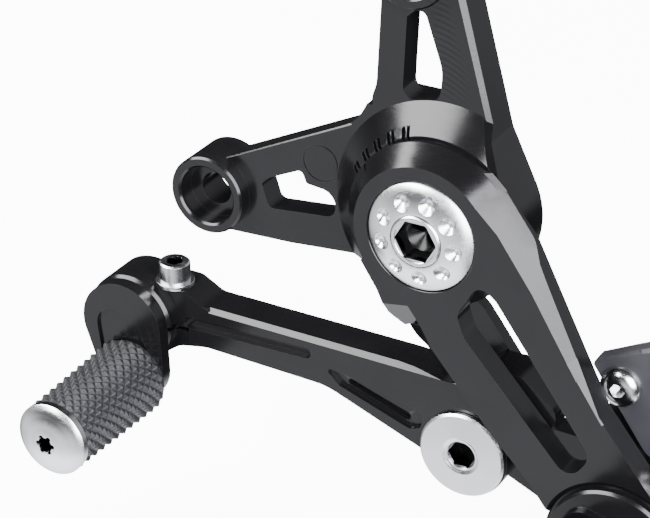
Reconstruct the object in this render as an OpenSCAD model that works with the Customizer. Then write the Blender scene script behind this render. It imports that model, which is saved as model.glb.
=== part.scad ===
// Adjustable rear set for a motorcycle: a frame plate with a round hub, and an arm that turns in
// that hub and carries the foot peg, the heel guard and the shift lever with its eccentric toe peg.
// +X is rearward, +Y is inboard, +Z is up. The origin is on the axis of the front frame bolt, on
// the inboard face. Outlines are drawn from the hub's axis, with Y = 0 at the arm's front face.

/* [Hub] */
// Radius of the arm's flat face around the hub
hub_face_r = 21.7; // [20:0.1:22.5]
// Radius of the arm's head behind its cone
hub_back_r = 26.9; // [25.5:0.1:27.5]
// Depth of the arm's head cone
hub_cone_depth = 6.5; // [5:0.1:7.5]
// Radius of the spigot that turns in the frame plate
spigot_r = 20; // [18:0.5:21]
// Radial running clearance of every hinge
running = 0.05; // [0.02:0.01:0.1]
// Radius of the washer under the hub screw
washer_r = 17; // [15:0.1:17]
// Number of dimples in the washer
dimples = 9; // [5:1:11]
// Radius of the hub screw's shank
hub_screw_r = 6; // [5:0.5:6]

/* [Frame plate] */
// Distance from the hub back to the front frame bolt
front_bolt_back = 79; // [77:0.5:81]
// Height of the hub above the front frame bolt
hub_rise = 10.5; // [9:0.5:12]
// Radius of the plate's round hub
plate_hub_r = 27.6; // [27.5:0.1:28.5]
// Radius of the plate's hub behind its flange
plate_hub_back_r = 25.7; // [25.3:0.1:26]
// Radius where the cone around that hub meets the webs
plate_cone_r = 36; // [34:0.5:37]
// Radius of each frame bolt boss
boss_r = 12.65; // [12:0.05:13.5]
// Radius of each frame bolt counterbore
counterbore_r = 9.4; // [9:0.1:10]
// Radius of each frame bolt hole
frame_hole_r = 5.25; // [4.25:0.05:5.5]
// Angle between the notches of the position scale
notch_step = 11; // [9:0.5:12]

/* [Arm] */
// Thickness of the arm's plate
arm_t = 8.2; // [7.5:0.1:8.4]
// Radius of the arm's end around the foot peg
foot_end_r = 22; // [21.5:0.5:23]
// Radius of the arm's spacer boss behind the foot peg
foot_boss_r = 19; // [17:0.5:20]

/* [Foot peg] */
// Length of the knurled sleeve
foot_sleeve_l = 67; // [55:1:80]
// Outer radius of the knurled sleeve
foot_sleeve_r = 15.5; // [13:0.5:17]
// Radius of the foot peg's end cap
foot_cap_r = 17; // [15:0.5:18]

/* [Shift lever] */
// Thickness of the lever
lever_t = 13; // [12:0.1:13]
// Radius of the lever around its pivot
lever_pivot_r = 14.5; // [14:0.1:15.5]
// Radius of the lever's clamp eye
lever_eye_r = 15.2; // [14.8:0.1:16]
// Radius of the clamped bore
clamp_bore_r = 10; // [9:0.1:10]
// Radius of the pivot bolt's head
pivot_head_r = 14.1; // [12:0.1:14.4]

/* [Toe peg] */
// Radius of the toe peg's sleeve at the link
toe_sleeve_in_r = 13.7; // [12.5:0.1:14]
// Radius of the toe peg's sleeve at the cap
toe_sleeve_out_r = 12.4; // [12:0.1:13]
// Radius of the toe peg's domed cap
toe_cap_r = 12.1; // [11:0.1:12.4]

/* [Hidden] */
$fn = 96;

// Depths from the arm's front face, all along +Y
hub_front = 9;
boss_front = 10.6;
plate_front = 15.6;
web_back = 24;
plate_back = 28;
lever_front = 10;
lever_back = lever_front + lever_t;
eye_front = 6.9;
carrier_front = 23.6;
carrier_back = 31.6;
ear_back = 28;
guard_front = 17.6;
link_front = 2;
link_back = 6.5;
toe_cap_back = -40.2;
foot_sleeve_back = -17;
foot_sleeve_front = foot_sleeve_back - foot_sleeve_l;

// Axes, as [x, z] from the hub
HUB = [0, 0];
FRONT_BOLT = [-front_bolt_back, -hub_rise];
UPPER_BOLT = [-11, 76.5];
FOOT = [64.9, -86.5];
PIVOT = [11.3, -74.9];
EYE = [-106.8, -59.7];
TOE = [-103.6, -77.1];
LINK_END = [-104, -74];
ROD_HOLE = [25, -56.5];
CLAMP = [-93.7, 14.2];
GUARD_HOLES = [[57.4, -41.8], [86, -60]];

// ---- Helpers -------------------------------------------------------------------------------

// Moves an outline's frame, at the hub, to the part's frame, at the front frame bolt
module placed() translate([front_bolt_back, -plate_back, hub_rise]) children();

// A plate from depth y0 to y1 with the outline drawn as [x, z]
module slab(y0, y1) translate([0, y1, 0]) rotate([90, 0, 0]) linear_extrude(y1 - y0) children();

// A round bar or hole along Y
module rod(p, r, y0, y1) slab(y0, y1) translate(p) circle(r);

// A hexagon socket along Y, by its width across flats
module hex(p, flats, y0, y1) slab(y0, y1) translate(p) circle(flats / sqrt(3), $fn = 6);

// A six-lobed socket along Y, by its radius to the lobes' tips
module lobes(p, r, y0, y1) slab(y0, y1) translate(p) {
    circle(r * 0.74);
    for (a = [0 : 60 : 300]) rotate(a) translate([r * 0.76, 0]) circle(r * 0.24);
}

// A turned shape about an axis along Y, with its profile drawn as [radius, y]
module turned(p) translate([p[0], 0, p[1]]) rotate([90, 0, 0]) mirror([0, 0, 1])
    rotate_extrude() children();

// Two circles and the band between their outer tangents
module capsule(p, rp, q, rq) {
    d = norm(q - p);
    u = (q - p) / d;
    s = (rp - rq) / d;
    c = sqrt(1 - s * s);
    n1 = [u[0] * s - u[1] * c, u[1] * s + u[0] * c];
    n2 = [u[0] * s + u[1] * c, u[1] * s - u[0] * c];
    translate(p) circle(rp);
    translate(q) circle(rq);
    polygon([p + rp * n1, q + rq * n1, q + rq * n2, p + rp * n2]);
}

// Points of a polygon whose corners [x, z, radius] are rounded
function turn(a, b) = a[0] * b[1] - a[1] * b[0];
function corner(p, a, b, r) = r == 0 ? [p] : let (
    half = acos(a * b) / 2,
    t = r / tan(half),
    c = p + (a + b) / norm(a + b) * r / sin(half),
    s = p + a * t - c,
    way = turn(s, p + b * t - c) > 0 ? 1 : -1,
    sweep = way * (180 - 2 * half),
    steps = max(3, ceil(abs(sweep) / 9))
) [for (k = [0 : steps]) let (w = sweep * k / steps)
    c + [s[0] * cos(w) - s[1] * sin(w), s[0] * sin(w) + s[1] * cos(w)]];
function rounded(v) = [for (i = [0 : len(v) - 1]) let (
    n = len(v),
    p = [v[i][0], v[i][1]],
    before = [v[(i + n - 1) % n][0], v[(i + n - 1) % n][1]],
    after = [v[(i + 1) % n][0], v[(i + 1) % n][1]]
) each corner(p, (before - p) / norm(before - p), (after - p) / norm(after - p), v[i][2])];
module shape(v) polygon(rounded(v));

// Cuts the front edge away beyond the line a to b, whose left is outside; w across for d deep
module bevel(a, b, w, d, y = 0, reach = 1.5, over = 0) {
    u = (b - a) / norm(b - a);
    translate([b[0], y, b[1]]) rotate([0, atan2(-u[0], -u[1]), 0]) translate([0, 0, -over])
        linear_extrude(norm(b - a) + 2 * over)
            polygon([[-w, -d], [reach * w, reach * d], [reach * w, -d]]);
}

// A groove along a cone about the hub, from radius r at depth y, at an angle in the outline
module cone_groove(angle, r, y, slope, length, width, depth) rotate([0, -angle, 0])
    translate([r, y, 0]) rotate([0, 0, slope]) translate([0, -1, -width / 2])
        cube([length, 1 + depth, width]);

// A button head screw: head in front of depth y, shank behind it
module button_screw(p, head_r, head_h, r, flats, y, end) difference() {
    turned(p) polygon([[0, y - head_h], [head_r * 0.5, y - head_h], [head_r * 0.72, y - head_h * 0.86],
        [head_r * 0.88, y - head_h * 0.6], [head_r * 0.97, y - head_h * 0.3], [head_r, y], [r, y],
        [r, end], [0, end]]);
    hex(p, flats, y - head_h - 1, y - head_h * 0.25);
}

// A bolt with a large round head whose face is turned, from rim depth y back to seat depth
module cap_bolt(p, head_r, rise, y, seat, r, end, socket_r) difference() {
    turned(p) polygon([[0, y - rise], [head_r * 0.3, y - rise * 0.93], [head_r * 0.6, y - rise * 0.68],
        [head_r * 0.85, y - rise * 0.3], [head_r - 0.4, y], [head_r, y + 0.4], [head_r, seat], [r, seat],
        [r, end], [0, end]]);
    lobes(p, socket_r, y - rise - 1, y + 2.2);
}

// ---- Frame plate ---------------------------------------------------------------------------

module plate_outline() {
    shape([[-77, 0.3, 0], [-29.5, 23.4, 13], [-23, 36, 12], [-21.6, 66, 0], [-11, 90, 11],
        [2.75, 72, 14], [15.1, 27.5, 6], [23.4, 10.6, 0], [12, -16, 0], [-20, -19.1, 0],
        [-52, -22, 30], [-77, -23.1, 0]]);
    translate(UPPER_BOLT) circle(14.2);
    circle(plate_hub_back_r);
}

// The hub's front flange is full round at the left and trimmed by the outline at the right
module flange_outline() {
    plate_outline();
    intersection() {
        circle(plate_hub_r);
        translate([-40, -40]) square([46, 80]);
    }
}

module plate_windows() {
    shape([[-13.4, 62.4, 3.2], [-7.7, 61.9, 2.2], [-1.9, 45.5, 12], [-2.5, 35.2, 4.5],
        [-14.6, 34.2, 3.5]]);
    shape([[-62.4, -3.2, 2.5], [-48, 3.5, 1.5], [-46.4, -0.6, 1.5], [-36.4, -1.6, 5],
        [-36.4, -9.6, 3.4], [-59.6, -12, 2.5]]);
}

module base_plate() color("#1b1b1e") placed() difference() {
    union() {
        difference() {
            slab(plate_front, plate_back) plate_outline();
            // The webs are thinner behind than the hub and the bosses
            slab(web_back, plate_back + 1) translate([-76, -30]) square([54.5, 66]);
            slab(web_back, plate_back + 1)
                shape([[-19.5, 63.5, 2.5], [0.8, 63.5, 2.5], [8.6, 34, 3], [-18, 34, 3]]);
            slab(plate_front - 1, plate_back + 1) plate_windows();
            bevel([-0.4, 77.6], [13.6, 28.3], 1.8, 1.8, plate_front, 1.5, 2);
            bevel([-24.2, 30], [-22.6, 68], 1.4, 2.2, plate_front);
            bevel([-76, 0.4], [-31, 22.2], 0.9, 0.9, plate_front);
        }
        intersection() {
            difference() {
                turned(HUB) polygon([[0, hub_front], [plate_hub_r, hub_front],
                    [plate_cone_r, plate_front], [plate_cone_r, plate_front + 2],
                    [plate_hub_r, plate_front + 2], [plate_hub_r, plate_back], [0, plate_back]]);
                // The right edge's chamfer runs on down the cone
                translate([13.2, plate_front, 33.5]) rotate([0, 146.8, -44.6]) rotate([0, 0, 169.9])
                    translate([-0.9, -6, -1]) cube([6, 12, 20]);
            }
            slab(hub_front, plate_back) flange_outline();
        }
        for (p = [FRONT_BOLT, UPPER_BOLT]) turned(p) polygon([[0, boss_front],
            [boss_r - 0.6, boss_front], [boss_r, boss_front + 0.6], [boss_r, plate_back], [0, plate_back]]);
    }
    for (p = [FRONT_BOLT, UPPER_BOLT]) {
        turned(p) polygon([[0, boss_front - 1], [counterbore_r + 1.6, boss_front - 1],
            [counterbore_r, boss_front + 0.6], [counterbore_r, boss_front + 6.4], [0, boss_front + 6.4]]);
        rod(p, frame_hole_r, boss_front, plate_back + 1);
    }
    // Hub bore, screw hole and the pocket that holds the nut
    rod(HUB, spigot_r + running, hub_front - 1, 18);
    rod(HUB, hub_screw_r + 0.5, 17, plate_back + 1);
    rod(HUB, 11, 22, plate_back + 1);
    // Position scale: five pairs of grooves down the cone
    for (k = [-1 : 3], side = [-1, 1]) cone_groove(144 - k * notch_step + side * 1.7, plate_hub_r - 1,
        hub_front, 38, 3.8, 1.1, 1);
    // Plain ring engraved on the front web
    turned([-41.4, 7.3]) polygon([[5.5, plate_front - 1], [6, plate_front - 1], [6, plate_front + 0.35],
        [5.5, plate_front + 0.35]]);
}

module hub_nut() color("#8f9297") placed() difference() {
    turned(HUB) polygon([[0, 22], [11, 22], [11, plate_back - 0.8], [10.2, plate_back], [0, plate_back]]);
    rod(HUB, hub_screw_r + running, 21, plate_back + 1);
    for (a = [0, 180]) rotate([0, a, 0]) rod([8.4, 0], 1.2, plate_back - 2, plate_back + 1);
}

// ---- Adjuster arm and its stack ------------------------------------------------------------

// The spine of the arm: its widest outline, at the back of its bevels
module arm_outline() {
    shape([[0, 0, 0], [16.2, 21.5, 0], [20.9, 21.2, 1.5], [23, 16.6, 4], [33.2, 5, 12],
        [41.6, -11.4, 30], [57.9, -43, 0], [82.3, -73.1, 0], [FOOT[0], FOOT[1], 0],
        [43.6, -79.6, 6], [37.6, -71.6, 4], [25, -59, 20], [10, -47.9, 10], [5.2, -38.3, 2],
        [2.2, -35.9, 2], [-3, -36.3, 2], [-5.6, -35.3, 1.2], [-9.6, -30.7, 2], [-11.1, -28.5, 1],
        [-11.7, -25.1, 0.5], [-13.9, -20.5, 4], [-19.4, -12.2, 0]]);
    translate(FOOT) circle(foot_end_r);
}

module arm_slot() shape([[12.2, -22, 4], [19, -10, 3.5], [24.6, -14.4, 4], [56.3, -57.2, 5],
    [49.8, -66.9, 4.5], [14.6, -28.8, 8]]);

module adjuster_arm() color("#202024") placed() difference() {
    union() {
        difference() {
            slab(0, arm_t) arm_outline();
            // Right edge, from the head to the foot peg
            bevel([10.5, 19.6], [24.1, 6.9], 5.2, 6.5, 0, 2.2, 20);
            bevel([24.1, 6.9], [35.6, -9.1], 5.4, 3.3, 0, 1.8, 8);
            bevel([35.6, -9.1], [48.3, -29.8], 3, 1.9, 0, 1.8, 4);
            bevel([48.3, -29.8], [57.8, -43.6], 2, 1.4, 0, 2, 2);
            // Left edge: a sloping pocket under the head, then a facet that narrows down the arm
            intersection() {
                bevel([1.4, -22.5], [-14.6, -25.1], 13.4, 8.2, 0, 1.1);
                slab(-3, arm_t + 1) polygon([[-20, -19], [-6.5, -19], [-3.6, -23.3], [0.6, -28.8],
                    [-13, -37.6], [-20, -38]]);
            }
            bevel([6.3, -38.4], [0.6, -28.8], 9.4, 8.2, 0, 1.1);
            bevel([34, -69.5], [5.4, -36.5], 4.6, 8.2, 0, 1.5, 1);
        }
        turned(HUB) polygon([[0, 0], [hub_face_r, 0], [hub_back_r, hub_cone_depth],
            [hub_back_r, arm_t], [spigot_r, arm_t], [spigot_r, 17.2], [spigot_r - 0.5, 17.7], [0, 17.7]]);
        rod(FOOT, foot_boss_r, arm_t, carrier_front);
    }
    slab(-1, arm_t + 0.01) arm_slot();
    // Seat of the washer, with its lead-in cone, and the screw hole
    turned(HUB) polygon([[0, -1], [washer_r + 1.4, -1], [washer_r + 0.25, 0.2], [washer_r + 0.25, 3.2],
        [0, 3.2]]);
    rod(HUB, hub_screw_r + 0.2, 3, 18);
    // Shallow dish that the foot peg's collar stands in
    turned(FOOT) polygon([[0, -1], [24.6, -1], [21.6, 0.9], [0, 0.9]]);
    rod(FOOT, 5.1, 0, carrier_front + 1);
    for (a = [135, 315]) rod(FOOT + 12.5 * [cos(a), sin(a)], 2.5, 11, carrier_front + 1);
    for (a = [45, 225]) rod(FOOT + 12.5 * [cos(a), sin(a)], 2, 17, carrier_front + 1);
    cone_groove(144, hub_back_r - 1.9, hub_cone_depth - 2.375, 51.3, 4, 0.9, 0.8);
}

module hub_washer() color("#c9cbce") placed() difference() {
    turned(HUB) polygon([[0, -2.9], [8.8, -2.9], [10.6, -2.6], [12.5, -2.1], [14.2, -1.45],
        [15.6, -0.75], [washer_r - 0.5, -0.2], [washer_r, 0.3], [washer_r, 3.2], [0, 3.2]]);
    rod(HUB, hub_screw_r + 0.2, 0, 4);
    rod(HUB, 8.2, -4, 1.8);
    for (k = [0 : dimples - 1]) turned(12.5 * [cos(360 * k / dimples + 35), sin(360 * k / dimples + 35)])
        polygon([[0, -4], [4.6, -4], [1, -0.8], [0, -0.6]]);
}

module hub_screw() color("#d4d5d8") placed() difference() {
    turned(HUB) polygon([[0, -3.4], [7.5, -3.4], [8, -2.9], [8, 1.8], [hub_screw_r, 1.8],
        [hub_screw_r, plate_back - 1], [hub_screw_r - 1, plate_back], [0, plate_back]]);
    hex(HUB, 11.6, -4, 1.2);
    turned(HUB) polygon([[0, -4], [7.1, -4], [6.5, -3.1], [0, -3.1]]);
    turned(HUB) polygon([[0, 1], [5, 1], [0, 4.6]]);
}

module carrier_plate() color("#1d1d20") placed() difference() {
    union() {
        slab(carrier_front, carrier_back) {
            capsule(PIVOT, 8.5, FOOT, foot_boss_r);
            shape([[50, -72, 0], [66, -60, 10], [86, -50.5, 8], [95.5, -60, 8], [84, -90, 0]]);
        }
        slab(carrier_front, ear_back) shape([[54, -66, 0], [50.2, -43.5, 4], [58.6, -35.4, 5],
            [70, -47, 12], [84, -52, 0], [80, -70, 0]]);
        // Brace that reaches up behind the arm's slot
        slab(carrier_front, ear_back) shape([[6, -72, 0], [5.5, -58, 20], [-2.5, -44, 5],
            [-1.5, -29.4, 3], [5.6, -28.2, 1.5], [10, -31.9, 2], [13.6, -36.6, 4], [21.4, -47, 1.5],
            [18.2, -52.5, 4], [17.4, -66, 6], [24, -76, 0], [12, -76, 0]]);
    }
    rod(PIVOT, 5, carrier_front - 1, carrier_back + 1);
    rod(FOOT, 5, carrier_front - 1, carrier_back + 1);
    for (p = GUARD_HOLES) rod(p, 3, carrier_front - 1, carrier_back + 1);
    for (a = [135, 315]) {
        rod(FOOT + 12.5 * [cos(a), sin(a)], 3.2, carrier_front - 1, carrier_back + 1);
        turned(FOOT + 12.5 * [cos(a), sin(a)]) polygon([[0, 28.2], [3.2, 28.2], [6.6, 31.6],
            [6.6, 33], [0, 33]]);
    }
    for (a = [45, 225]) rod(FOOT + 12.5 * [cos(a), sin(a)], 2, carrier_front - 1, 29);
    // Lightening pocket between the pivot and the foot peg
    slab(27.6, carrier_back + 1) capsule([29, -78.5], 6, [43, -81.5], 6);
}

module carrier_screws() color("#4a4b50") placed() for (a = [135, 315]) difference() {
    turned(FOOT + 12.5 * [cos(a), sin(a)]) polygon([[0, 12], [2.5, 12], [2.5, 28.3], [6.2, 31.4],
        [0, 31.4]]);
    hex(FOOT + 12.5 * [cos(a), sin(a)], 4, 29, 33);
}

module carrier_dowels() color("#9a9ca0") placed() for (a = [45, 225])
    rod(FOOT + 12.5 * [cos(a), sin(a)], 2, 17.5, 29);

module heel_guard() color("#232327") placed() difference() {
    slab(guard_front, carrier_front) shape([[47.6, -36, 1.5], [63, -28.1, 60], [103, -12.4, 8],
        [118, -36, 20], [106, -76, 8], [90, -71, 8], [66.5, -62.5, 8]]);
    bevel([47.8, -37.2], [62.6, -29.4], 1.2, 1.2, guard_front);
    bevel([62.6, -29.4], [103.4, -13.5], 1.2, 1.2, guard_front);
    bevel([65.6, -62.1], [48.6, -37.2], 1.2, 1.2, guard_front);
    for (p = GUARD_HOLES) rod(p, 3.1, guard_front - 1, carrier_front + 1);
    slab(guard_front - 1, carrier_front + 1) capsule([88, -36], 7, [101, -52], 7);
}

module guard_screws() color("#cfd0d3") placed() {
    button_screw(GUARD_HOLES[0], 6.5, 3.3, 3, 4, guard_front, ear_back);
    button_screw(GUARD_HOLES[1], 6.5, 3.3, 3, 4, guard_front, carrier_back);
}

// ---- Foot peg ------------------------------------------------------------------------------

module foot_peg_mount() color("#19191c") placed() difference() {
    union() {
        turned(FOOT) polygon([[0, foot_sleeve_front + 6], [8, foot_sleeve_front + 6],
            [9, foot_sleeve_front + 7], [9, foot_sleeve_back], [17.5, foot_sleeve_back],
            [18, foot_sleeve_back + 0.5], [18, -14], [13, -11], [13, -4], [20.4, -2.2], [21.2, -1.4],
            [21.2, 0.9], [0, 0.9]]);
        slab(-6, -2.2) capsule([57.6, -79.6], 7.7, FOOT, 13);
    }
    rod(FOOT, 5.1, foot_sleeve_front, 2);
}

module foot_peg_sleeve() color("#2b2b2e") placed() difference() {
    turned(FOOT) polygon([[0, foot_sleeve_front], [foot_sleeve_r - 1, foot_sleeve_front],
        [foot_sleeve_r, foot_sleeve_front + 1], [foot_sleeve_r, foot_sleeve_back - 1],
        [foot_sleeve_r - 1, foot_sleeve_back], [0, foot_sleeve_back]]);
    rod(FOOT, 9.05, foot_sleeve_front + 4, foot_sleeve_back + 1);
    rod(FOOT, 5.1, foot_sleeve_front - 1, foot_sleeve_back + 1);
}

module foot_peg_bolt() color("#d4d5d8") placed()
    cap_bolt(FOOT, foot_cap_r, 2.4, foot_sleeve_front - 2.4, foot_sleeve_front, 5, carrier_back, 3.4);

// ---- Shift lever ---------------------------------------------------------------------------

module pivot_bolt() color("#cfd0d3") placed() difference() {
    turned(PIVOT) polygon([[0, 8.2], [5.2, 8.2], [6.2, 7.6], [pivot_head_r - 0.7, 7.9],
        [pivot_head_r, 8.6], [pivot_head_r, 9.7], [5, 9.7], [5, carrier_back], [0, carrier_back]]);
    hex(PIVOT, 8, 7, 15);
    turned(PIVOT) polygon([[0, 7], [5.4, 7], [4.3, 8.9], [0, 8.9]]);
}

module pivot_sleeve() color("#a9abb0") placed() difference() {
    rod(PIVOT, 8, 9.7, carrier_front);
    rod(PIVOT, 5.05, 9, carrier_front + 1);
}

module lever_outline() {
    shape([[-106.8, -48, 0], [-100.5, -45.8, 2], [-88.8, -45.8, 4], [-80.8, -50, 6], [-8, -50.2, 60],
        [9, -52.6, 12], [18.6, -43.4, 4], [29, -43.2, 3], [41.4, -52.6, 4], [37, -64, 6],
        [22, -74, 0], [8, -82, 0],
        [-36.5, -65.4, 22], [-80, -64.2, 12], [-90, -66.2, 8], [-99, -73, 0]]);
    translate(EYE) circle(lever_eye_r);
    translate(PIVOT) circle(lever_pivot_r);
}

module shift_lever() color("#1e1e21") placed() difference() {
    union() {
        difference() {
            slab(lever_front, lever_back) lever_outline();
            bevel([-79, -51.4], [9, -51.8], 1.5, 1.5, lever_front);
        }
        turned(EYE) polygon([[0, eye_front], [lever_eye_r - 0.9, eye_front],
            [lever_eye_r, eye_front + 0.9], [lever_eye_r, lever_back], [0, lever_back]]);
    }
    rod(EYE, clamp_bore_r, eye_front - 1, lever_back + 1);
    rod(PIVOT, 10, lever_front - 1, lever_back + 1);
    rod(ROD_HOLE, 3.2, lever_front - 1, lever_back + 1);
    // Slit that lets the eye close on the toe link
    slab(eye_front - 1, lever_back + 1) translate([EYE[0], EYE[1] - 0.8]) square([20.5, 1.6]);
    // Spot face, clearance hole and thread of the clamp screw
    translate([CLAMP[0], CLAMP[1], -46.3]) cylinder(r = 6.8, h = 10);
    translate([CLAMP[0], CLAMP[1], EYE[1]]) cylinder(r = 3.1, h = 30);
    translate([CLAMP[0], CLAMP[1], -80]) cylinder(r = 3, h = 30);
    // Long groove, and the pocket that narrows to the pivot
    slab(lever_front - 1, lever_front + 2.6) shape([[-88.1, -54.8, 1.9], [-42, -53.6, 1.9],
        [-41.9, -57.7, 1.9], [-88, -58.9, 1.9]]);
    slab(lever_front - 1, lever_front + 1.8) shape([[-37.5, -58.7, 1], [-24, -60.2, 6],
        [-2.6, -65.6, 2.5], [-3.4, -70.6, 2], [-7, -72.2, 2], [-32, -63.9, 3]]);
    slab(lever_front - 1, lever_front + 4.4) capsule([-28.5, -62.5], 1, [-9, -68.9], 1.4);
}

module pivot_bushes() color("#b08d57") placed() for (y = [11.5, 17.2]) difference() {
    rod(PIVOT, 10, y, y + 4.3);
    rod(PIVOT, 8 + running, y - 1, y + 6);
}

module pivot_seals() color("#101010") placed() for (y = [10.1, 21.5]) difference() {
    rod(PIVOT, 10, y, y + 1.4);
    rod(PIVOT, 8.1, y - 1, y + 3);
}

module clamp_washer() color("#cfd0d3") placed() translate([CLAMP[0], CLAMP[1], -46.3]) difference() {
    cylinder(r = 6.2, h = 1.4);
    translate([0, 0, -1]) cylinder(r = 3.1, h = 4);
}

module clamp_screw() color("#d4d5d8") placed() translate([CLAMP[0], CLAMP[1], -44.9]) difference() {
    union() {
        rotate_extrude() polygon([[0, 0], [5, 0], [5, 6], [4.5, 6.5], [0, 6.5]]);
        translate([0, 0, -23]) cylinder(r = 3, h = 24);
    }
    translate([0, 0, 3]) cylinder(r = 5 / sqrt(3), h = 5, $fn = 6);
}

// ---- Toe peg -------------------------------------------------------------------------------

module toe_link() color("#222226") placed() difference() {
    union() {
        slab(link_front, link_back) capsule(EYE, lever_eye_r - 0.6, LINK_END, 12.4);
        turned(EYE) polygon([[0, link_back - 1], [clamp_bore_r - running, link_back - 1],
            [clamp_bore_r - running, 23.4], [9, 23.4], [9, 24.5], [clamp_bore_r - running, 24.5],
            [clamp_bore_r - running, 25.4], [9.4, 26], [0, 26]]);
    }
    slab(link_front - 1, link_front + 1) capsule([-109.3, -61.2], 6.8, LINK_END, 10.3);
    rod(TOE, 4, link_front - 1, link_back + 1);
    rod(EYE, 4, 16, 27);
}

module toe_circlip() color("#55575c") placed() difference() {
    rod(EYE, 12, 23.4, 24.5);
    rod(EYE, 9, 23, 25);
    slab(23, 25) translate([EYE[0] - 2, EYE[1] - 20]) square([4, 14]);
}

module toe_peg_sleeve() color("#2b2b2e") placed() difference() {
    turned(TOE) polygon([[0, toe_cap_back], [toe_sleeve_out_r - 0.6, toe_cap_back],
        [toe_sleeve_out_r, toe_cap_back + 0.8], [toe_sleeve_in_r, link_front - 1],
        [toe_sleeve_in_r - 0.8, link_front], [0, link_front]]);
    rod(TOE, 4.1, toe_cap_back - 1, link_front + 1);
}

module toe_peg_bolt() color("#d4d5d8") placed()
    cap_bolt(TOE, toe_cap_r, 3.4, toe_cap_back - 2.4, toe_cap_back, 4, link_back, 3.4);

base_plate();
hub_nut();
adjuster_arm();
hub_washer();
hub_screw();
carrier_plate();
carrier_screws();
carrier_dowels();
heel_guard();
guard_screws();
foot_peg_mount();
foot_peg_sleeve();
foot_peg_bolt();
pivot_bolt();
pivot_sleeve();
shift_lever();
pivot_bushes();
pivot_seals();
clamp_screw();
clamp_washer();
toe_link();
toe_circlip();
toe_peg_sleeve();
toe_peg_bolt();
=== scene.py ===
"""Motorcycle rearset on a pale studio floor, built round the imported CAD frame. Lengths are metres."""
from math import cos, pi, radians, sin

import bpy
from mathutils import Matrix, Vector


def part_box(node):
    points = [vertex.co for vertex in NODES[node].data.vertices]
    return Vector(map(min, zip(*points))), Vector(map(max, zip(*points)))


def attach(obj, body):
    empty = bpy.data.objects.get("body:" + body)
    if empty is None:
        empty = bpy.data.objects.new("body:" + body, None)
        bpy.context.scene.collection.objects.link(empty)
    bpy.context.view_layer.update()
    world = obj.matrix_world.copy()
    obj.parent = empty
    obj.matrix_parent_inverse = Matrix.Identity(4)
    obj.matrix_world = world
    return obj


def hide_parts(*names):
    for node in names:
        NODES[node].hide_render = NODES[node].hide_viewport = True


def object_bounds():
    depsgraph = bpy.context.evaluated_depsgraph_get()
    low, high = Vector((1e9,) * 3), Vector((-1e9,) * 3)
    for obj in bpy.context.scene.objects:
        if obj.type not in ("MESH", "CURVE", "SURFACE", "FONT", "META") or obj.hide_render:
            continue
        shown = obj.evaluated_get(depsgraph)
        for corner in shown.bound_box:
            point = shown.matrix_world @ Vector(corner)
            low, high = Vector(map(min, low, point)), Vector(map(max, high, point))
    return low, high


MM = 0.001
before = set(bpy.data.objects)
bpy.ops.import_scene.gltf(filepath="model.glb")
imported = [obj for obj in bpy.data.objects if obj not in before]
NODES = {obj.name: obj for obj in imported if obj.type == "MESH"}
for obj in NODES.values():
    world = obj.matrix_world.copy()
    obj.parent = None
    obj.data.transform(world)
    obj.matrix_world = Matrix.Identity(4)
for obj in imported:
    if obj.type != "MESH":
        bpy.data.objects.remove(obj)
CAD_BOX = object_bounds()


def centre(node):
    """The middle of a CAD node's box: on the axis, for a round node."""
    low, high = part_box(node)
    return (low + high) / 2


HUB = centre("hub_washer")
TOE = centre("toe_peg_sleeve")
FOOT = centre("foot_peg_sleeve")
PIVOT = centre("pivot_bolt")
CLAMP = centre("clamp_washer")


# ---------------------------------------------------------------- materials


def add_node(tree, kind, inputs=None, **settings):
    """A new node, with its settings made and its inputs linked to a socket or given a value."""
    node = tree.nodes.new(kind)
    for key, value in settings.items():
        setattr(node, key, value)
    for key, value in (inputs or {}).items():
        if isinstance(value, bpy.types.NodeSocket):
            tree.links.new(value, node.inputs[key])
        else:
            node.inputs[key].default_value = value
    return node


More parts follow.
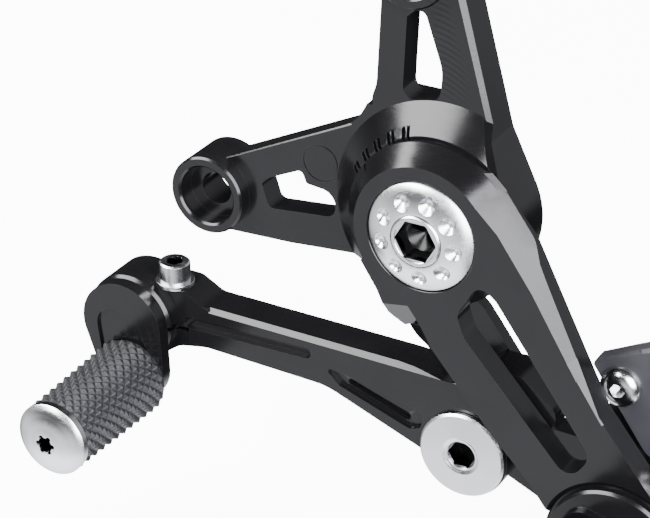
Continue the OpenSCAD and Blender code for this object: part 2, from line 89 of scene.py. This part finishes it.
class Graph:
    """A material's node tree, with short names for the nodes it uses."""

    def __init__(self, name, **fixed):
        self.material = bpy.data.materials.new(name)
        self.material.use_nodes = True
        self.tree = self.material.node_tree
        self.shader = self.tree.nodes["Principled BSDF"]
        for socket, value in fixed.items():
            self.shader.inputs[socket.replace("_", " ")].default_value = value
        self.place = self.add("ShaderNodeTexCoord").outputs["Object"]

    def add(self, kind, inputs=None, **settings):
        return add_node(self.tree, kind, inputs, **settings)

    def math(self, operation, a, b=0.0):
        return self.add("ShaderNodeMath", {0: a, 1: b}, operation=operation).outputs[0]

    def vector(self, operation, a, b=(0, 0, 0)):
        node = self.add("ShaderNodeVectorMath", {0: a, 1: b}, operation=operation)
        return node.outputs["Value" if operation in ("LENGTH", "DOT_PRODUCT") else "Vector"]

    def noise(self, scale, detail=2.0, stretch=None, turn=(0, 0, 0)):
        at = self.place
        if stretch:
            mapping = self.add("ShaderNodeMapping", {"Vector": at, "Rotation": turn, "Scale": stretch})
            at = mapping.outputs[0]
        noise = self.add("ShaderNodeTexNoise", {"Vector": at, "Scale": scale, "Detail": detail})
        return noise.outputs["Fac"]

    def span(self, value, low, high, start=0.0, end=1.0):
        """Maps start to low and end to high, and holds beyond them."""
        ends = {"From Min": start, "From Max": end, "To Min": low, "To Max": high}
        return self.add("ShaderNodeMapRange", {"Value": value, **ends}).outputs["Result"]

    def mix(self, factor, a, b):
        """Between the colours a and b. The node's colour sockets are its numbers 6 and 7, and 2 goes out."""
        return self.add("ShaderNodeMix", {0: factor, 6: a, 7: b}, data_type="RGBA").outputs[2]

    def edges(self, radius):
        """0 on flat ground and 1 on an outer or inner edge."""
        soft = self.add("ShaderNodeBevel", {"Radius": radius}, samples=4).outputs[0]
        true = self.add("ShaderNodeNewGeometry").outputs["True Normal"]
        return self.span(self.vector("DOT_PRODUCT", soft, true), 1.0, 0.0, 0.72, 0.97)

    def bump(self, height, strength, distance):
        node = self.add("ShaderNodeBump", {"Height": height, "Strength": strength, "Distance": distance})
        self.link(node.outputs[0], "Normal")

    def link(self, value, socket):
        self.tree.links.new(value, self.shader.inputs[socket])


def grey(level, blue=1.0):
    return (level, level, level * blue, 1.0)


ARC_PITCH, ARC_SWEEP, ARC_FADE, ARC_DEPTH = 1.8 * MM, 17 * MM, 3 * MM, 5.0


def cutter_arcs(g, low, high, lean):
    """Curved cutter marks between the corners low and high, whose right side leans left as it goes up."""
    x, _, z = g.add("ShaderNodeSeparateXYZ", {0: g.place}).outputs
    away = g.math("MAXIMUM", g.math("SUBTRACT", x, low.x), 0.0)
    drop = g.math("DIVIDE", g.math("MULTIPLY", away, away), 2 * ARC_SWEEP)
    wave = g.math("SINE", g.math("MULTIPLY", g.math("ADD", z, drop), 2 * pi / ARC_PITCH))
    leaning = g.math("ADD", x, g.math("MULTIPLY", g.math("SUBTRACT", z, HUB.z), lean))
    inside = 1.0
    for place, edge, inwards in ((x, low.x, 1), (leaning, high.x, -1), (z, low.z, 1), (z, high.z, -1)):
        fade = g.span(place, 0.0, 1.0, edge, edge + inwards * ARC_FADE)
        inside = g.math("MULTIPLY", fade, inside)
    return g.math("MULTIPLY", g.math("MULTIPLY", wave, inside), ARC_DEPTH)


def anodised(name, grain=(0, 0, 0), level=0.004, arcs=None, rough=0.17):
    """Black anodise over milled aluminium: fine cutter grain, cloudy dye and paler edges."""
    g = Graph(name, Metallic=0.0, IOR=1.4, Specular_IOR_Level=0.5)
    cloud = g.noise(55, 3)
    cutter = g.noise(260, 2, stretch=(1, 1, 14), turn=grain)
    speck = g.noise(2600, 1)
    colour = g.mix(cloud, grey(level * 0.7, 1.1), grey(level * 1.5, 1.12))
    wear = g.math("MULTIPLY", g.edges(0.35 * MM), 0.3)
    g.link(g.mix(wear, colour, grey(0.035, 1.04)), "Base Color")
    texture = g.math("ADD", g.math("MULTIPLY", cutter, 0.6), g.math("MULTIPLY", speck, 0.4))
    uneven = g.math("ADD", texture, g.math("MULTIPLY", cloud, 0.5))
    g.link(g.span(uneven, rough - 0.05, rough + 0.07, 0.4, 1.1), "Roughness")
    height = g.math("ADD", texture, cutter_arcs(g, *arcs)) if arcs else texture
    g.bump(height, 0.10, 0.10 * MM)
    return g.material


RING_PITCH = 0.22 * MM
# Depths over which the painted shade inside a socket fades in
SOCKET_SHADE = (0.3 * MM, 1.6 * MM)


def turned(name, middle, base, rough, around=(0, 1, 0), socket=None):
    """Metal turned on a lathe about an axis through middle: rings, and highlights that fan out from it.
    A socket, given as its radius, the point where it starts and the way it runs, is painted dark inside,
    deeper in more, as painted shade in the recess."""
    g = Graph(name, Metallic=1.0, Anisotropic=0.72)
    out = g.vector("SUBTRACT", g.place, tuple(middle))
    flat = g.vector("MULTIPLY", out, tuple(1 - abs(v) for v in around))
    g.link(g.vector("NORMALIZE", g.vector("CROSS_PRODUCT", flat, around)), "Tangent")
    radius = g.vector("LENGTH", flat)
    wander = g.math("MULTIPLY", g.noise(900, 2), 0.6 * MM)
    ring = g.math("SINE", g.math("MULTIPLY", g.math("ADD", radius, wander), 2 * pi / RING_PITCH))
    cloud = g.noise(70, 3)
    tone = g.math("ADD", g.math("MULTIPLY", ring, 0.1), g.math("MULTIPLY", cloud, 0.6))
    dark = (base * 0.86, base * 0.86, base * 0.88, 1)
    pale = (base * 1.05, base * 1.05, base * 1.06, 1)
    colour = g.mix(tone, dark, pale)
    # Painted shade: inside the socket the colour darkens to near black with depth
    if socket:
        width, start, inward = socket
        depth = g.vector("DOT_PRODUCT", g.vector("SUBTRACT", g.place, tuple(start)), inward)
        socket_painted_shade = g.span(depth, 0.0, 1.0, *SOCKET_SHADE)
        inside = g.math("MULTIPLY", g.math("LESS_THAN", radius, width), socket_painted_shade)
        colour = g.mix(inside, colour, grey(0.02))
    g.link(colour, "Base Color")
    uneven = g.math("ADD", cloud, g.math("MULTIPLY", g.noise(1500, 1), 0.5))
    g.link(g.span(uneven, rough * 0.8, rough * 1.35, 0.3, 1.2), "Roughness")
    g.bump(ring, 0.05, 0.02 * MM)
    return g.material


def plain(name, colour, rough, metal, scale=400):
    """A quiet surface that still has grain, cloudiness and worn edges."""
    g = Graph(name, Metallic=metal)
    cloud, speck = g.noise(80, 3), g.noise(scale, 2)
    dark = tuple(v * 0.75 for v in colour[:3]) + (1,)
    pale = tuple(min(1, v * 1.2) for v in colour[:3]) + (1,)
    wear = g.math("MULTIPLY", g.edges(0.3 * MM), 0.5)
    g.link(g.mix(wear, g.mix(cloud, dark, pale), pale), "Base Color")
    g.link(g.span(g.math("ADD", cloud, speck), rough * 0.8, rough * 1.25, 0.6, 1.4), "Roughness")
    g.bump(speck, 0.2, 0.04 * MM)
    return g.material


def knurl_finish(name):
    """Matt black anodise, worn grey on the points of the knurl by the sole of a boot."""
    g = Graph(name, Metallic=0.0, IOR=1.5, Specular_IOR_Level=0.5)
    cloud, speck = g.noise(90, 3), g.noise(1800, 2)
    base = g.mix(cloud, grey(0.011, 1.1), grey(0.022, 1.1))
    wear = g.math("MULTIPLY", g.edges(0.3 * MM), 0.5)
    g.link(g.mix(wear, base, grey(0.085, 1.05)), "Base Color")
    g.link(g.span(g.math("ADD", cloud, speck), 0.36, 0.56, 0.6, 1.4), "Roughness")
    g.bump(speck, 0.25, 0.08 * MM)
    return g.material


def paint(piece, material):
    if not piece.data.materials:
        piece.data.materials.append(material)
    for slot in piece.material_slots:
        slot.material = material


UPPER_WEB = (HUB + Vector((-6, 0, 36)) * MM, HUB + Vector((19.1, 0, 90)) * MM, 0.284)
BLACK_PLATE = anodised("black anodise, frame plate", arcs=UPPER_WEB)
BLACK_ARM = anodised("black anodise, arm", grain=(0, radians(55), 0))
BLACK_LEVER = anodised("black anodise, lever", grain=(0, radians(92), 0))
BLACK_TURNED = anodised("black anodise, turned", grain=(0, radians(20), 0))
BLACK_GUARD = anodised("satin black, guard", grain=(0, radians(20), 0), level=0.03, rough=0.33)
STEEL = plain("oiled steel", (0.33, 0.33, 0.34, 1), 0.3, 1.0)
BRONZE = plain("sintered bronze", (0.5, 0.34, 0.16, 1), 0.45, 1.0, 900)
SEAL = plain("nitrile rubber", (0.012, 0.012, 0.012, 1), 0.6, 0.0, 700)
KNURL = knurl_finish("black knurl")


def front_socket(node, radius):
    """The socket in a screw's front end: its radius in mm, where it starts and the way it runs."""
    return radius * MM, Vector((0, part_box(node)[0].y, 0)), (0, 1, 0)


def top_socket(node, radius):
    """The same for a screw that stands upright."""
    return radius * MM, Vector((0, 0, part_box(node)[1].z)), (0, 0, -1)


def capped(name, node, middle, base, rough, radius):
    """A turned screw with a socket in its front end, of the radius given in mm, painted dark inside as
    shade.
    """
    return turned(name, middle, base, rough, socket=front_socket(node, radius))


UPRIGHT = (0, 0, 1)
FINISHES = {
    "base_plate": BLACK_PLATE,
    "adjuster_arm": BLACK_ARM,
    "carrier_plate": BLACK_LEVER,
    "heel_guard": BLACK_GUARD,
    "foot_peg_mount": BLACK_TURNED,
    "shift_lever": BLACK_LEVER,
    "toe_link": BLACK_TURNED,
    "hub_nut": STEEL,
    "carrier_screws": STEEL,
    "carrier_dowels": STEEL,
    "pivot_sleeve": STEEL,
    "toe_circlip": STEEL,
    "pivot_bushes": BRONZE,
    "pivot_seals": SEAL,
    "hub_washer": turned("stainless, washer", HUB, 0.78, 0.24),
    "hub_screw": capped("stainless, hub screw", "hub_screw", HUB, 0.7, 0.2, 7.0),
    "pivot_bolt": capped("stainless, pivot bolt", "pivot_bolt", PIVOT, 0.78, 0.22, 5.0),
    "toe_peg_bolt": capped("stainless, toe cap", "toe_peg_bolt", TOE, 0.78, 0.22, 5.0),
    "foot_peg_bolt": capped("stainless, foot cap", "foot_peg_bolt", FOOT, 0.78, 0.22, 5.0),
    "clamp_screw": turned("stainless, clamp screw", CLAMP, 0.72, 0.22, UPRIGHT,
                          top_socket("clamp_screw", 3.4)),
    "clamp_washer": turned("stainless, clamp washer", CLAMP, 0.74, 0.22, UPRIGHT),
    "guard_screws": plain("stainless, guard screws", (0.72, 0.72, 0.73, 1), 0.2, 1.0, 1200),
}
# How far each piece's sharp edges are broken, in mm
EDGE_BREAKS = {
    "hub_washer": 0.12,
    "hub_screw": 0.15,
    "clamp_screw": 0.2,
    "clamp_washer": 0.12,
    "pivot_bolt": 0.15,
    "toe_peg_bolt": 0.15,
    "foot_peg_bolt": 0.15,
    "guard_screws": 0.12,
    "base_plate": 0.3,
    "adjuster_arm": 0.3,
    "shift_lever": 0.3,
    "toe_link": 0.3,
    "heel_guard": 0.3,
    "foot_peg_mount": 0.25,
    "carrier_plate": 0.3,
}


def round_edges(piece, width):
    """Breaks the sharp edges of a CAD mesh by width, and keeps its flats flat."""
    weld = piece.modifiers.new("weld", "WELD")
    weld.merge_threshold = 2e-6
    bevel = piece.modifiers.new("edge break", "BEVEL")
    bevel.width = width
    bevel.segments = 2
    bevel.limit_method = "ANGLE"
    bevel.angle_limit = radians(24)
    bevel.use_clamp_overlap = True
    normals = piece.modifiers.new("normals", "WEIGHTED_NORMAL")
    normals.keep_sharp = False
    normals.weight = 80


for node, piece in NODES.items():
    if node in FINISHES:
        paint(piece, FINISHES[node])
    if node in EDGE_BREAKS:
        round_edges(piece, EDGE_BREAKS[node] * MM)


# ---------------------------------------------------------------- knurled sleeves


KNURL_DEPTH, END_CHAMFER = 1.1 * MM, 1.2 * MM


def knurled_sleeve(name, node, body, rows, bore, radius_front, radius_back):
    """A tube along Y, and a skin of four-sided points between two families of V grooves.
    Round the tube, each row of points takes two columns of vertices: a point and a groove."""
    low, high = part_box(node)
    axis = (low + high) / 2
    length = high.y - low.y
    around = 2 * rows
    along = 2 * round(length * rows / (2 * pi * (radius_front + radius_back) / 2))
    verts, faces = [], []

    def ring(radius, y, row=None):
        """A ring of vertices. In a numbered row every second one is down in a groove."""
        for i in range(around):
            r = radius - (KNURL_DEPTH if row is not None and (i + row) % 2 == 0 else 0)
            a = 2 * pi * i / around
            verts.append((axis.x + r * cos(a), y, axis.z + r * sin(a)))

    for j in range(along + 1):
        y = low.y + length * j / along
        crest = radius_front + (radius_back - radius_front) * j / along
        if j in (0, along):
            ring(crest - END_CHAMFER, y)
        else:
            ring(crest, y, j)
    ring(bore, low.y)
    ring(bore, high.y)
    for i in range(around):
        k = (i + 1) % around
        for j in range(along):
            a, b, c, d = j * around + i, (j + 1) * around + i, (j + 1) * around + k, j * around + k
            faces += [(a, b, c), (a, c, d)] if (i + j) % 2 == 0 else [(a, b, d), (b, c, d)]
        last, bore_low, bore_high = along * around, (along + 1) * around, (along + 2) * around
        faces.append((i, k, bore_low + k, bore_low + i))
        faces.append((last + k, last + i, bore_high + i, bore_high + k))
        faces.append((bore_low + i, bore_low + k, bore_high + k, bore_high + i))
    mesh = bpy.data.meshes.new(name)
    mesh.from_pydata(verts, [], faces)
    mesh.validate()
    piece = bpy.data.objects.new(name, mesh)
    bpy.context.scene.collection.objects.link(piece)
    soften = piece.modifiers.new("worn points", "BEVEL")
    soften.width = 0.12 * MM
    soften.segments = 1
    soften.limit_method = "ANGLE"
    soften.angle_limit = radians(20)
    paint(piece, KNURL)
    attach(piece, body)
    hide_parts(node)


knurled_sleeve("toe_peg_knurl", "toe_peg_sleeve", "toe_peg", rows=22, bore=4.1 * MM,
               radius_front=12.4 * MM, radius_back=13.7 * MM)
knurled_sleeve("foot_peg_knurl", "foot_peg_sleeve", "adjuster", rows=26, bore=9.05 * MM,
               radius_front=15.5 * MM, radius_back=15.5 * MM)


# ---------------------------------------------------------------- studio

# The floor clears the foot peg when the arm is turned down
FLOOR_GAP, FLOOR_SIZE = 14 * MM, 8
bpy.ops.mesh.primitive_plane_add(size=FLOOR_SIZE, location=(0, 0, CAD_BOX[0][2] - FLOOR_GAP))
floor = bpy.context.object
floor.name = "floor"
floor.visible_diffuse = floor.visible_glossy = False
# The paper glows a little, so that it comes out nearly white
paper = Graph("pale paper", Roughness=0.85, Emission_Color=(0.97, 0.97, 1.0, 1), Emission_Strength=9.0)
paper.link(paper.mix(paper.noise(3, 2), (0.88, 0.88, 0.88, 1), (0.9, 0.9, 0.9, 1)), "Base Color")
paint(floor, paper.material)


def softbox(name, towards, distance, size, power, colour=(1, 1, 1), glossy=True):
    """A rectangular light that shines on the hub from the direction towards."""
    data = bpy.data.lights.new(name, "AREA")
    data.shape = "RECTANGLE"
    data.size, data.size_y = size
    data.energy = power
    data.color = colour
    lamp = bpy.data.objects.new(name, data)
    way = Vector(towards).normalized()
    lamp.location = HUB + way * distance
    lamp.rotation_euler = (-way).to_track_quat("-Z", "Y").to_euler()
    lamp.visible_glossy = glossy
    bpy.context.scene.collection.objects.link(lamp)


softbox("overhead wash", (-0.25, 0.35, 1), 1.6, (1.6, 1.6), 80, glossy=False)
softbox("right box", (0.66, -0.66, 0.34), 1.0, (0.8, 0.85), 45, (0.93, 0.93, 1.0))
softbox("left box", (-0.60, -0.48, 0.64), 1.4, (1.4, 0.6), 60)

# A dark room over a pale floor, which is brightest close by and towards the front left
world = bpy.data.worlds.new("studio")
bpy.context.scene.world = world
world.use_nodes = True
room = world.node_tree
FRONT_LEFT = (-0.49, -0.87, 0)
DARKNESS = 0.03


def ramp(value, start, end, low, high):
    """A smooth step from low at start to high at end."""
    ends = {"From Min": start, "From Max": end, "To Min": low, "To Max": high}
    step = add_node(room, "ShaderNodeMapRange", {"Value": value, **ends}, interpolation_type="SMOOTHSTEP")
    return step.outputs["Result"]


def room_math(operation, a, b):
    return add_node(room, "ShaderNodeMath", {0: a, 1: b}, operation=operation).outputs[0]


ray = add_node(room, "ShaderNodeTexCoord").outputs["Generated"]
down = room_math("MULTIPLY", add_node(room, "ShaderNodeSeparateXYZ", {0: ray}).outputs[2], -1.0)
along = add_node(room, "ShaderNodeVectorMath", {0: ray, 1: FRONT_LEFT}, operation="DOT_PRODUCT")
front = along.outputs["Value"]
near_floor = ramp(down, 0.49, 0.85, 0.0, 2.6)
front_floor = room_math("MULTIPLY", ramp(down, -0.2, 0.4, 0.0, 1.0), ramp(front, -0.1, 0.95, 0.0, 1.7))
back_wall = room_math("MULTIPLY", ramp(down, 0.05, 0.33, 1.0, 0.0), ramp(front, -0.95, -0.5, 0.6, 0.0))
glow = room_math("ADD", room_math("ADD", near_floor, front_floor), back_wall)
background = room.nodes["Background"]
background.inputs["Color"].default_value = (0.95, 0.96, 1.0, 1)
room.links.new(room_math("ADD", glow, DARKNESS), background.inputs["Strength"])

# The camera stands 29.4 degrees round to the right and looks down by 28
CAMERA_PLACE = Vector((341.59, -549.31, 313.64)) * MM
AZIMUTH, ELEVATION = radians(29.4), radians(28.0)
SENSOR_WIDTH, FOCAL_LENGTH = 36, 127.3846
camera_data = bpy.data.cameras.new("camera")
camera_data.sensor_width = SENSOR_WIDTH
camera_data.lens = FOCAL_LENGTH
camera_data.clip_start = 50 * MM
camera = bpy.data.objects.new("camera", camera_data)
camera.location = CAMERA_PLACE
gaze = Vector((-sin(AZIMUTH) * cos(ELEVATION), cos(AZIMUTH) * cos(ELEVATION), -sin(ELEVATION)))
camera.rotation_euler = gaze.to_track_quat("-Z", "Y").to_euler()
bpy.context.scene.collection.objects.link(camera)
bpy.context.scene.camera = camera
